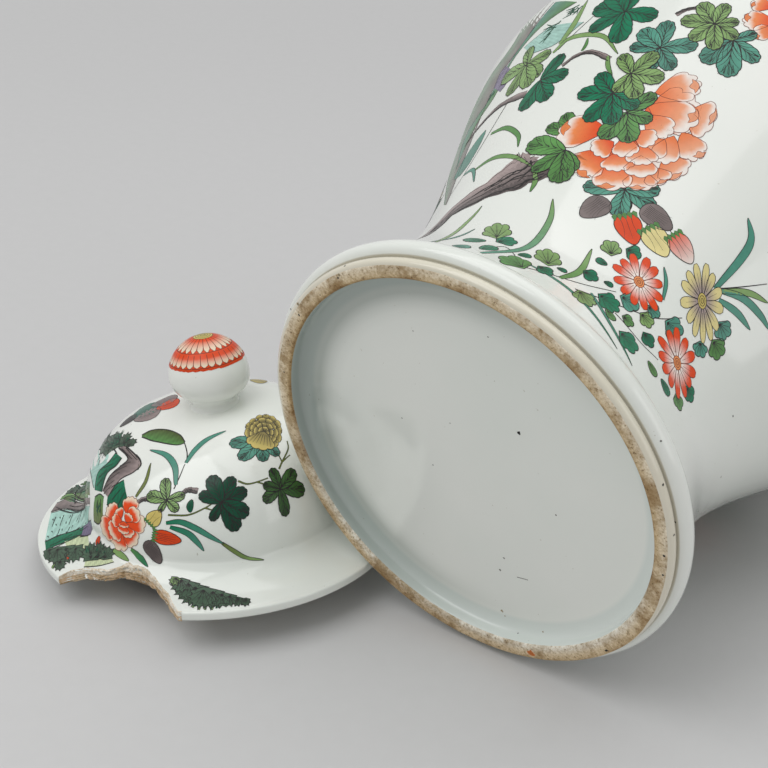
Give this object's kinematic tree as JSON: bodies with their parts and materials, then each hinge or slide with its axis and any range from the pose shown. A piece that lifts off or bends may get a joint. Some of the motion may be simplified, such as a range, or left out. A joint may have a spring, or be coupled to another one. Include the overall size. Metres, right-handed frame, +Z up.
{
  "type": "potiche",
  "caption": "Lidded baluster porcelain jar lying on its side, with its domed cover taken off beside it; the cover's flange has a broken-out bite.",
  "frame": {"origin": "on the ground, at the middle of the space that the jar and its cover take up", "axes": "+Z up, +Y the way the jar's mouth points, +X from the cover towards the jar"},
  "size_m": [0.4594, 0.5148, 0.3345],
  "materials": {
    "glazed_porcelain": "gloss",
    "bare_porcelain": "matt"
  },
  "bodies": {
    "jar": {"jar_foot_ring": "glazed_porcelain", "jar_base": "glazed_porcelain", "jar_lower_body": "glazed_porcelain", "jar_upper_body": "glazed_porcelain", "jar_neck": "glazed_porcelain"},
    "cover": {"cover_flange": "glazed_porcelain", "cover_tongue": "bare_porcelain", "cover_dome": "glazed_porcelain", "cover_knob_stem": "glazed_porcelain", "cover_knob": "glazed_porcelain"}
  },
  "joints": [
    {"name": "cover_lift", "type": "slide", "parent": "jar", "child": "cover", "axis": [-0.866, 0, 0.5], "range_m": [0, 0.3]}
  ]
}
